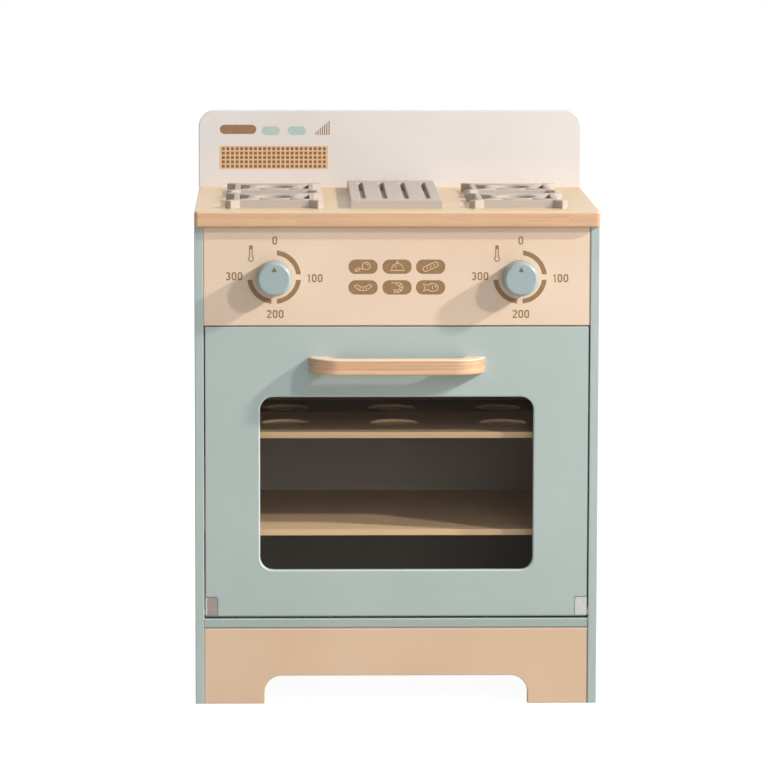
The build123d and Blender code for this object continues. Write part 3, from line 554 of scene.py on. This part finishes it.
# painted highlight: the shelves' front edges are painted paler, where light falls on them through the window
shelf_edge_highlight = ("Y", -107.0, 1.5, "#E6C9A4", 0.9)
dress(
    ["muffin_shelf"],
    solid_wood(
        "planed pine shelf, painted shade inside", "#F0D9B9", "#DDBF9B", (900.0, 90.0), 0.0,
        # painted shadow darkens the lower half of the holes, and painted shade the back of the shelf deeper in
        # the oven
        bands=[
            ("Z", 265.2, 2.0, "#4A3828", 0.75), ("Y", 20.0, 115.0, "#7A5C3E", 0.12),
            ("Y", 95.0, 45.0, "#5A4430", 0.55), shelf_edge_highlight,
        ],
    ),
)
dress(
    ["lower_shelf"],
    solid_wood(
        "planed pine shelf", "#F0D9B9", "#DDBF9B", (900.0, 90.0), 0.0,
        bands=[shelf_edge_highlight],
    ),
)
dress(
    ["worktop_cleat_left", "worktop_cleat_right"],
    solid_wood("planed pine cleat", "#E0BE98", "#C9A179", (900.0, 90.0), 0.0, (0.0, 0.0, pi / 2)),
)
dress(
    ["worktop_dowels", "splash_dowels"],
    solid_wood("beech dowel", "#DDB48C", "#C79B73", (900.0, 90.0), 0.0, (0.0, pi / 2, 0.0)),
)

# ---------------------------------------------------------------- worktop
# A slab glued up from solid staves 41 mm wide, planed, its edges rounded over, and finished with
# a clear satin oil. The grain runs from side to side, and each stave has its own tone. The top and
# its rounded front edge are painted paler, a painted highlight.
dress(
    ["worktop"],
    solid_wood(
        "oiled solid wood worktop", "#DAB28D", "#CA9F7A", (268.0, 41.0), 0.25,
        bands=[("Z", 493.6, 2.3, "#E7D7B5", 0.5)],
    ),
)

# ---------------------------------------------------------------- splashback
# An MDF board with rounded top corners, sprayed in warm white, on three dowels behind the hob.
dress(["splashback"], sprayed("warm white satin lacquer on MDF", "#E2DFDD", "#DCD8D5", 0.42))

# Its printed display sits at the left: a brown button, two mint ones, rising bars, and a tan field
# with rows of dark square dots like a speaker grille. The dots are laid out by a node tree.
splash_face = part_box("splashback")[0].y
mint_ink = ink("mint screen ink", "#B3CCC6", "#AAC3BD")
tan_ink = ink("tan screen ink", "#DDC09B", "#D5B68F")
dark_ink = ink("dark brown screen ink", "#8E6039", "#825633")
display = bmesh.new()
film(display, rounded(38.0, 9.6, 4.7), (-158.9, 553.8), splash_face)
for bar in range(7):
    height = 3.4 + 1.9 * bar
    film(display, rounded(1.1, height, 0.5, 3), (-77.6 + 2.3 * bar, 547.9 + height / 2), splash_face)
piece("display_print", display, brown_ink, "cabinet")
display = bmesh.new()
for x in (-124.9, -97.5):
    film(display, rounded(19.0, 9.2, 4.5), (x, 552.4), splash_face)
piece("display_buttons", display, mint_ink, "cabinet")
display = bmesh.new()
film(display, rounded(113.6, 24.4, 1.0, 3), (-121.6, 524.4), splash_face)
piece("display_field", display, tan_ink, "cabinet")


def grid_tree():
    """Rows of small square dots that stand on an upright face."""
    tree = bpy.data.node_groups.new("dots in rows", "GeometryNodeTree")
    tree.interface.new_socket("Geometry", in_out="OUTPUT", socket_type="NodeSocketGeometry")
    for name, kind in (
        ("Columns", "Int"), ("Rows", "Int"), ("Width", "Float"), ("Height", "Float"),
        ("Dot", "Vector"), ("Middle", "Vector"), ("Ink", "Material"),
    ):
        tree.interface.new_socket(name, in_out="INPUT", socket_type=f"NodeSocket{kind}")
    given = node(tree, "NodeGroupInput")
    points = node(
        tree, "GeometryNodeMeshGrid",
        {
            "Size X": given["Width"], "Size Y": given["Height"],
            "Vertices X": given["Columns"], "Vertices Y": given["Rows"],
        },
    )[0]
    upright = node(
        tree, "GeometryNodeTransform",
        {"Geometry": points, "Translation": given["Middle"], "Rotation": (pi / 2, 0, 0)},
    )[0]
    dot = node(tree, "GeometryNodeMeshCube", {"Size": given["Dot"]})[0]
    dots = node(tree, "GeometryNodeInstanceOnPoints", {"Points": upright, "Instance": dot})[0]
    real = node(tree, "GeometryNodeRealizeInstances", {"Geometry": dots})[0]
    inked = node(tree, "GeometryNodeSetMaterial", {"Geometry": real, "Material": given["Ink"]})[0]
    node(tree, "NodeGroupOutput", {"Geometry": inked})
    return tree


def grown(name, tree, values, body, mesh=None):
    """A plain mesh of what a node tree gives for these inputs, as a piece that rides on a body."""
    made = bpy.data.objects.new(name, mesh or bpy.data.meshes.new(name + "_seed"))
    bpy.context.scene.collection.objects.link(made)
    modifier = made.modifiers.new("grow", "NODES")
    modifier.node_group = tree
    for item in tree.interface.items_tree:
        if item.item_type == "SOCKET" and item.in_out == "INPUT" and item.name in values:
            modifier[item.identifier] = values[item.name]
    bpy.context.view_layer.update()
    real = bpy.data.meshes.new_from_object(
        made.evaluated_get(bpy.context.evaluated_depsgraph_get())
    )
    made.modifiers.remove(modifier)
    made.data = real
    real.name = name
    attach(made, body)
    return made


grown(
    "display_dots", grid_tree(),
    {
        "Columns": 23, "Rows": 5, "Width": 22 * 4.8 * MM, "Height": 4 * 4.6 * MM,
        "Dot": (3.1 * MM, 2 * INK * MM, 3.1 * MM),
        "Middle": (-0.1216, splash_face - INK * MM, 0.5244), "Ink": dark_ink,
    },
    "cabinet",
)

# ---------------------------------------------------------------- griddle and grates
# Thick plates routed from MDF and sprayed in warm light grey, screwed down from under the worktop.
stone = sprayed("light grey satin lacquer on MDF", "#BFB5AC", "#B8ADA4", 0.42)
dress(
    ["griddle_plate", "grate_front_left", "grate_front_right", "grate_back_left", "grate_back_right"],
    stone,
)

# ---------------------------------------------------------------- door pane
# A sheet of clear cast acrylic, held in the rebate behind the window.


def acrylic(name, tint):
    """Clear sheet: light goes straight through, and each face mirrors a little."""
    material, tree, place = new_material(name)
    through = node(tree, "ShaderNodeBsdfTransparent", {"Color": linear(tint)})[0]
    haze = node(tree, "ShaderNodeTexNoise", {"Vector": place, "Scale": 30.0, "Detail": 3.0})[0]
    rough = node(tree, "ShaderNodeMapRange", {"Value": haze, "To Min": 0.03, "To Max": 0.09})[0]
    mirror = node(tree, "ShaderNodeBsdfGlossy", {"Roughness": rough})[0]
    facing = node(tree, "ShaderNodeFresnel", {"IOR": 1.18})[0]
    # only the face that light meets first mirrors it, for the shader doesn't bend what goes through
    inner = node(tree, "ShaderNodeNewGeometry")["Backfacing"]
    first = node(tree, "ShaderNodeMath", {0: 1.0, 1: inner}, operation="SUBTRACT")[0]
    share = node(tree, "ShaderNodeMath", {0: facing, 1: first}, operation="MULTIPLY")[0]
    shader = node(tree, "ShaderNodeMixShader", {0: share, 1: through, 2: mirror})[0]
    node(tree, "ShaderNodeOutputMaterial", {"Surface": shader})
    return material


dress(["window_pane"], acrylic("clear acrylic", "#FCFAF7"))

# ---------------------------------------------------------------- door handle
# Sawn from one piece of wood, its front edges rounded over and oiled like the worktop.
dress(
    ["door_handle"],
    solid_wood(
        "oiled beech handle", "#E6C4A1", "#BE8D64", (900.0, 250.0), 0.2, (1.02, 0.0, 0.0),
        # a darker growth ring runs along the front, and the rounded top edge is painted pale, a painted
        # highlight
        bands=[("Z", 343.0, 0.9, "#A87850", 0.3), ("Z", 348.5, 0.9, "#FBEBD6", 0.7)],
    ),
)

# ---------------------------------------------------------------- knobs
# Turned from solid wood, 34 mm across, with a bevel round the front, then sprayed in satin pale
# blue. A small grey-brown triangle printed on the face is the pointer.
sky = sprayed(
    "pale blue satin lacquer on wood", "#9FB0B1", "#98A9AB", 0.34, coat=0.35,
    # the rim of the bevel is painted paler, a painted highlight
    edge=((121.3, 427.7, 17.0, 17.0, 17.0), (-2.1, -0.2), "#C4D3D6", 0.18),
)
pointer_ink = ink("grey-brown screen ink", "#6F6955", "#655F4C")
knob_radius, bevel, knob_bore, bore_depth = 17.0, 2.3, 4.0, 12.0
for hand, (x, _, z) in zip(("left", "right"), knob_axes):
    low, high = (corner.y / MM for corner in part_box(f"knob_{hand}"))
    rim = knob_radius - bevel
    profile = [(0.0, low), (rim - 0.7, low), (rim - 0.2, low), (rim + 0.15, low + 0.12)]
    profile += [(knob_radius - 0.15, low + bevel - 0.2), (knob_radius, low + bevel + 0.2)]
    profile += [(knob_radius, low + bevel + 0.8)]
    profile += [
        (knob_radius, high - 0.8), (knob_radius - 0.25, high - 0.25), (knob_radius - 0.8, high),
        (knob_bore, high), (knob_bore, high - bore_depth), (0.0, high - bore_depth),
    ]
    form = bmesh.new()
    turned(form, profile, 96)
    bmesh.ops.transform(form, matrix=Matrix.Translation((x * MM, 0, z * MM)), verts=form.verts)
    made = piece(f"turned_knob_{hand}", form, sky, f"knob_{hand}", [f"knob_{hand}"])
    made.data.shade_smooth()
    form = bmesh.new()
    film(form, [(-2.7, -2.4), (2.7, -2.4), (0.0, 2.7)], (x, z + 9.6), low * MM)
    piece(f"pointer_{hand}", form, pointer_ink, f"knob_{hand}")

# ---------------------------------------------------------------- hinges, catch and fasteners


def plain(name, colour, deep, scale, roughness, metallic=0.0, bands=()):
    """Moulded plastic or metal, with a faint mottle of the given scale."""
    material, tree, place = new_material(name)
    mottle = node(tree, "ShaderNodeTexNoise", {"Vector": place, "Scale": scale, "Detail": 3.0})[0]
    tint = node(
        tree, "ShaderNodeMix", {0: mottle, 6: linear(colour), 7: linear(deep)}, data_type="RGBA"
    )[2]
    tint = banded(tree, place, tint, bands)
    gloss = node(
        tree, "ShaderNodeMapRange",
        {"Value": mottle, "To Min": roughness - 0.08, "To Max": roughness + 0.08},
    )[0]
    bump = node(tree, "ShaderNodeBump", {"Height": mottle, "Strength": 0.1, "Distance": 0.0002})[0]
    shader = node(
        tree, "ShaderNodeBsdfPrincipled",
        {"Base Color": tint, "Roughness": gloss, "Metallic": metallic, "Normal": bump},
    )[0]
    node(tree, "ShaderNodeOutputMaterial", {"Surface": shader})
    return material


zinc = plain("dull zinc-plated steel", "#B8B7B4", "#A5A4A1", 300.0, 0.5, 1.0)
# the left plate is painted darker as a painted reflection, with a pale mint painted highlight along its outer
# edge
reflection_darkened_zinc = plain(
    "zinc-plated steel, painted dark reflection", "#958984", "#867A76", 300.0, 0.55, 1.0,
    bands=[("X", -189.7, 1.3, "#AFC0BC", 0.85)],
)
screw_steel = plain("bright zinc-plated screw", "#C9C9C9", "#AEAEAE", 500.0, 0.35, 1.0)
nylon = plain("natural nylon", "#D6D3CC", "#CBC8C1", 300.0, 0.5)
dress(["hinge_plate_right", "strike_plate"], zinc)
dress(["hinge_plate_left"], reflection_darkened_zinc)
dress([n for n in nodes if "washer" in n or "pin" in n], screw_steel)
dress([n for n in nodes if "bush" in n or "spacer" in n], nylon)
dress(["catch_housing"], plain("white moulded plastic", "#E9E7E2", "#DEDCD7", 200.0, 0.4))
dress(["catch_magnet"], plain("dark ferrite magnet", "#3A3A3B", "#2C2C2D", 500.0, 0.6))
dress(["knob_insert_left", "knob_insert_right"], plain("turned brass", "#C9A35B", "#B58F4B", 500.0, 0.3, 1.0))

# Cross-head screws of zinc-plated steel: countersunk ones flush with the boards, and pan heads
# where they press on the pane, the handle and the knobs. Each set stands where the CAD has it.


def cross_screw(name, profile, cross):
    """A screw turned from (radius, y) points that end at its head, with a cross recess in it."""
    form = bmesh.new()
    head = turned(form, profile, 24)[-1]
    top = profile[-1][1]
    slot_half, arm = 0.16 * cross, cross
    plus = []
    for quarter in range(4):
        for px, pz in (
            (slot_half, slot_half), (0.6 * arm, slot_half), (arm, slot_half), (arm, 0.0),
            (arm, -slot_half), (0.6 * arm, -slot_half),
        )[::-1]:
            plus.append(spun([(px, pz)], 90 * quarter)[0])
    edge = [form.verts.new((px * MM, top * MM, pz * MM)) for px, pz in plus]
    floor = [
        form.verts.new((0.6 * px * MM, (top - 0.9 * cross) * MM, 0.6 * pz * MM)) for px, pz in plus
    ]
    turn = min(range(24), key=lambda k: (head[k].co - edge[0].co).length)
    for i in range(24):
        j = (i + 1) % 24
        form.faces.new((head[(turn + i) % 24], head[(turn + j) % 24], edge[j], edge[i]))
        form.faces.new((edge[i], edge[j], floor[j], floor[i]))
    form.faces.new(floor)
    bmesh.ops.recalc_face_normals(form, faces=form.faces)
    mesh = bpy.data.meshes.new(name)
    form.to_mesh(mesh)
    form.free()
    return bpy.data.objects.new(name, mesh)


def screw_tree():
    """Stands a screw on every point, turned as its point says."""
    tree = bpy.data.node_groups.new("screws in their holes", "GeometryNodeTree")
    tree.interface.new_socket("Geometry", in_out="OUTPUT", socket_type="NodeSocketGeometry")
    for name, kind in (("Holes", "Geometry"), ("Screw", "Object"), ("Metal", "Material"), ("Seed", "Int")):
        tree.interface.new_socket(name, in_out="INPUT", socket_type=f"NodeSocket{kind}")
    given = node(tree, "NodeGroupInput")
    screw = node(tree, "GeometryNodeObjectInfo", {"Object": given["Screw"]})["Geometry"]
    way = node(tree, "GeometryNodeInputNamedAttribute", {"Name": "way"}, data_type="FLOAT_VECTOR")[0]
    stand = node(tree, "FunctionNodeAlignRotationToVector", {"Vector": way}, axis="Y")[0]
    # how far each was driven home differs
    drive = node(
        tree, "FunctionNodeRandomValue", {2: 0.0, 3: pi, "Seed": given["Seed"]}, data_type="FLOAT"
    )[1]
    twist = node(tree, "FunctionNodeAxisAngleToRotation", {"Axis": (0, 1, 0), "Angle": drive})[0]
    both = node(tree, "FunctionNodeRotateRotation", {0: stand, 1: twist}, rotation_space="LOCAL")[0]
    placed = node(
        tree, "GeometryNodeInstanceOnPoints",
        {"Points": given["Holes"], "Instance": screw, "Rotation": both},
    )[0]
    real = node(tree, "GeometryNodeRealizeInstances", {"Geometry": placed})[0]
    metal = node(tree, "GeometryNodeSetMaterial", {"Geometry": real, "Material": given["Metal"]})[0]
    node(tree, "NodeGroupOutput", {"Geometry": metal})
    return tree


def islands(name):
    """Head place, way out, length, head and shank radius of each screw in a CAD node."""
    form = bmesh.new()
    form.from_mesh(nodes[name].data)
    bmesh.ops.remove_doubles(form, verts=form.verts, dist=1e-6)
    left, found = set(form.verts), []
    while left:
        edge, island = [left.pop()], []
        while edge:
            vert = edge.pop()
            island.append(vert.co.copy())
            for link in vert.link_edges:
                other = link.other_vert(vert)
                if other in left:
                    left.remove(other)
                    edge.append(other)
        found.append(island)
    form.free()
    places = []
    for island in found:
        low = Vector(min(p[k] for p in island) for k in range(3))
        high = Vector(max(p[k] for p in island) for k in range(3))
        size, middle = high - low, (low + high) / 2
        along = max(range(3), key=lambda k: size[k])
        across = [k for k in range(3) if k != along]

        def radius(ends):
            return max(hypot(*(p[k] - middle[k] for k in across)) for p in ends)
        # the head is at the end whose half is wider
        wide_low = radius([p for p in island if p[along] < middle[along]])
        wide_high = radius([p for p in island if p[along] > middle[along]])
        sign = 1 if wide_high > wide_low else -1
        way = Vector([sign if k == along else 0.0 for k in range(3)])
        top = middle + way * size[along] / 2
        places.append((top, way, size[along] / MM, max(wide_low, wide_high) / MM, min(wide_low, wide_high) / MM))
    return places


stand_screws = screw_tree()
bodies = {name: body for body, names in frame["record"]["behaviour"]["bodies"].items() for name in names}
for seed, name in enumerate(sorted(n for n in nodes if "screw" in n)):
    places = islands(name)
    _, _, length, head, shank = places[0]
    pan = name.startswith(("pane_", "handle_", "knob_"))
    if pan:
        rise = {"pane": 1.4, "handle": 2.5, "knob": 2.5}[name.split("_")[0]]
        profile = [(0.0, -length), (shank * 0.8, -length), (shank, 0.6 - length), (shank, -rise)]
        profile += [(head, -rise), (head, -0.7 * rise), (head * 0.93, -0.4 * rise)]
        profile += [(head * 0.8, -0.16 * rise), (head * 0.62, 0.0)]
        cross = 0.56 * head
    else:
        profile = [(0.0, -length), (shank * 0.3, -length), (shank, 2.0 - length)]
        profile += [(shank, shank - head), (head * 0.97, -0.1), (head * 0.9, 0.0)]
        cross = 0.62 * head
    holes = bpy.data.meshes.new(name + "_holes")
    holes.from_pydata([tuple(p[0]) for p in places], [], [])
    ways = holes.attributes.new("way", "FLOAT_VECTOR", "POINT")
    for i, p in enumerate(places):
        ways.data[i].vector = p[1]
    made = grown(
        f"cross_head_{name}", stand_screws,
        {"Screw": cross_screw(name + "_shape", profile, cross), "Metal": screw_steel, "Seed": seed},
        bodies[name], holes,
    )
    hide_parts(name)

# ---------------------------------------------------------------- studio
# A pale floor, two small lamps high on the right, a soft box in front and one behind on the left, and a pale
# room that is lighter on the right.
# What the camera sees of the floor and the room is white, and the floor keeps the shadow.
floor_mesh = bpy.data.meshes.new("studio_floor")
reach = 6.0
floor_mesh.from_pydata(
    [(-reach, -reach, -0.0003), (reach, -reach, -0.0003), (reach, reach, -0.0003), (-reach, reach, -0.0003)],
    [], [(0, 1, 2, 3)],
)
floor = bpy.data.objects.new("studio_floor", floor_mesh)
bpy.context.scene.collection.objects.link(floor)
material, tree, place = new_material("pale studio floor")
path = node(tree, "ShaderNodeLightPath")
seen = node(
    tree, "ShaderNodeMath", {0: path["Is Camera Ray"], 1: path["Is Glossy Ray"]}, operation="MAXIMUM"
)[0]
seen = node(tree, "ShaderNodeMath", {0: seen, 1: path["Is Transmission Ray"]}, operation="MAXIMUM")[0]
matt = node(tree, "ShaderNodeBsdfDiffuse", {"Color": linear("#B4B2AF")})[0]
dim = node(tree, "ShaderNodeBsdfDiffuse", {"Color": linear("#A0A0A0")})[0]
glow = node(tree, "ShaderNodeEmission", {"Color": (1, 1, 1, 1), "Strength": 0.94})[0]
bright = node(tree, "ShaderNodeAddShader", {0: dim, 1: glow})[0]
surface = node(tree, "ShaderNodeMixShader", {0: seen, 1: matt, 2: bright})[0]
node(tree, "ShaderNodeOutputMaterial", {"Surface": surface})
floor_mesh.materials.append(material)

world = bpy.data.worlds.new("even pale room")
bpy.context.scene.world = world
world.use_nodes = True
tree = world.node_tree
tree.nodes.clear()
path = node(tree, "ShaderNodeLightPath")
seen = node(
    tree, "ShaderNodeMath", {0: path["Is Camera Ray"], 1: path["Is Glossy Ray"]}, operation="MAXIMUM"
)[0]
seen = node(tree, "ShaderNodeMath", {0: seen, 1: path["Is Transmission Ray"]}, operation="MAXIMUM")[0]
# the room is lighter on the right, where its window is
way = node(tree, "ShaderNodeTexCoord")["Generated"]
across = node(tree, "ShaderNodeSeparateXYZ", {"Vector": way})["X"]
level = node(
    tree, "ShaderNodeMapRange",
    {"Value": across, "From Min": -1.0, "From Max": 1.0, "To Min": 0.07, "To Max": 0.53},
)[0]
room = node(tree, "ShaderNodeBackground", {"Color": linear("#F4F2EF"), "Strength": level})[0]
white = node(tree, "ShaderNodeBackground", {"Color": (1, 1, 1, 1), "Strength": 1.0})[0]
both = node(tree, "ShaderNodeMixShader", {0: seen, 1: room, 2: white})[0]
node(tree, "ShaderNodeOutputWorld", {"Surface": both})


def lamp(name, place, aim, size, watts, colour):
    """A square soft box at a place, turned towards a point of the object."""
    light = bpy.data.lights.new(name, "AREA")
    light.shape, light.size, light.energy = "SQUARE", size, watts
    light.color = linear(colour)[:3]
    box = bpy.data.objects.new(name, light)
    bpy.context.scene.collection.objects.link(box)
    box.location = place
    box.rotation_euler = (Vector(aim) - Vector(place)).to_track_quat("-Z", "Y").to_euler()


lamp("key_lamp", (3.0, -2.42, 2.4), (0.0, -0.1, 0.36), 0.22, 77.0, "#FFFAF4")
lamp("raking_lamp", (3.7, -1.36, 2.65), (0.0, -0.1, 0.36), 0.2, 170.0, "#FFF8EF")
lamp("fill_soft_box", (0.6, -3.1, 1.15), (0.0, 0.0, 0.3), 1.6, 20.0, "#EBF2FF")
lamp("back_soft_box", (-1.8, 1.6, 1.4), (0.0, 0.1, 0.3), 1.4, 26.0, "#FFFFFF")

# The camera stands where the photograph was taken from: far off, slightly above and to the left.
view_yaw, view_pitch, view_roll = radians(1.417), radians(7.245), radians(0.124)
view_distance = 4.4
view_target = Vector((-0.01278, -0.132, 0.32142))
lens = bpy.data.cameras.new("camera")
lens.sensor_width = 36.0
lens.lens = 208.49
lens.clip_start, lens.clip_end = 0.1, 50.0
camera = bpy.data.objects.new("camera", lens)
bpy.context.scene.collection.objects.link(camera)
forward = Vector((
    sin(view_yaw) * cos(view_pitch), cos(view_yaw) * cos(view_pitch), -sin(view_pitch)
))
camera.location = view_target - view_distance * forward
upright = forward.to_track_quat("-Z", "Y")
camera.rotation_mode = "QUATERNION"
camera.rotation_quaternion = upright @ Matrix.Rotation(view_roll, 4, "Z").to_quaternion()
bpy.context.scene.camera = camera

bpy.context.scene.view_settings.view_transform = "Standard"
